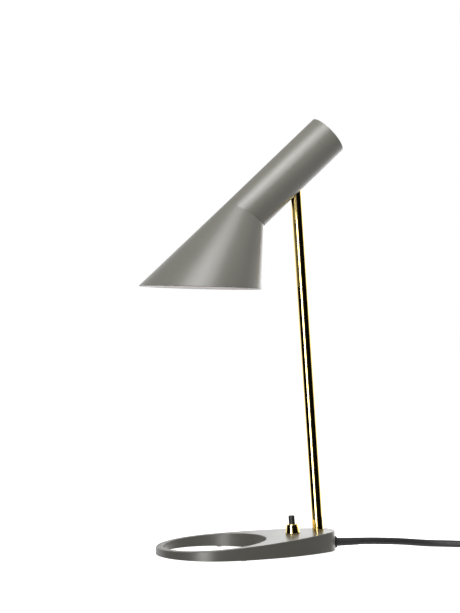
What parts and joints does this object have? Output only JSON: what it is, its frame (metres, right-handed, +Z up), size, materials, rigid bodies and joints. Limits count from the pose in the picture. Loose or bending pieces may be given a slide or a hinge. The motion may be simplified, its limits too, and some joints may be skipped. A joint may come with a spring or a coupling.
{
  "type": "architect desk lamp",
  "caption": "Desk lamp: skewed conical shade tilting on a thin leaning brass stem, teardrop ring foot with a push-button switch, mains cord and plug.",
  "frame": {"origin": "on the table, under the foot of the stem", "axes": "+Z up; -X towards the nose of the shade and the ring end of the foot; +X towards the cord outlet; the shade tilts about Y"},
  "size_m": [0.4802, 0.1216, 0.4314],
  "materials": {
    "painted_grey": "satin warm grey paint, lightly textured",
    "polished_brass": "polished and lacquered",
    "zinc_steel": "zinc plated",
    "black_plastic": "moulded, satin",
    "black_rubber": "matt",
    "clear_rubber": "clear, slightly milky",
    "cable_black": "satin cable sheath",
    "white_ceramic": "white, glazed look",
    "opal_glass": "opal white",
    "lead_insulation": "soft, matt",
    "contact_brass": "plain",
    "nickel_plate": "thin plated"
  },
  "bodies": {
    "foot": {"cable_bush": "black_rubber", "cord_coil": "cable_black", "cord_tail": "cable_black", "cord_tie": "black_plastic", "cover_plate": "zinc_steel", "cover_screw_1": "zinc_steel", "cover_screw_2": "zinc_steel", "cover_screw_3": "zinc_steel", "cover_screw_4": "zinc_steel", "foot_casting": "painted_grey", "foot_pad_front_1": "clear_rubber", "foot_pad_front_2": "clear_rubber", "foot_pad_front_3": "clear_rubber", "foot_pad_rear": "clear_rubber", "lead_live": "lead_insulation", "lead_neutral": "lead_insulation", "lead_switched": "lead_insulation", "mains_cord": "cable_black", "pivot_knuckle": "polished_brass", "plug_body": "black_plastic", "plug_pin_1": "nickel_plate", "plug_pin_2": "nickel_plate", "stem_lead": "lead_insulation", "stem_nut": "zinc_steel", "stem_tube": "polished_brass", "stem_washer": "zinc_steel", "switch_base": "black_plastic", "switch_collar": "polished_brass", "switch_housing": "black_plastic", "switch_terminal_1": "contact_brass", "switch_terminal_2": "contact_brass"},
    "head": {"head_tube": "painted_grey", "shade_cone": "painted_grey", "end_cap": "painted_grey", "pivot_bracket": "zinc_steel", "pivot_screw": "zinc_steel", "pivot_nut": "zinc_steel", "spring_washer": "zinc_steel", "friction_washer_1": "lead_insulation", "friction_washer_2": "lead_insulation", "bracket_screw_1": "zinc_steel", "bracket_screw_2": "zinc_steel", "holder_bracket": "zinc_steel", "holder_nipple": "contact_brass", "nipple_nut": "zinc_steel", "holder_cap": "black_plastic", "holder_shell": "black_plastic", "holder_insert": "white_ceramic", "holder_thread": "contact_brass", "holder_contact": "contact_brass", "bulb_cap": "nickel_plate", "bulb_glass": "opal_glass", "holder_lead": "lead_insulation"},
    "button": {"switch_button": "black_plastic", "contact_bridge": "contact_brass", "return_spring": "zinc_steel"}
  },
  "joints": [
    {"name": "head_tilt", "type": "hinge", "parent": "foot", "child": "head", "pos_m": [-0.02477, 0, 0.38306], "axis": [0, 1, 0], "range_deg": [-14, 44], "deforming": ["holder_lead"]},
    {"name": "button_press", "type": "slide", "parent": "foot", "child": "button", "axis": [0.0715, 0, -0.9974], "range_m": [0, 0.0025], "stiffness_N_per_m": 400, "springref_m": -0.001, "deforming": ["return_spring"]}
  ]
}
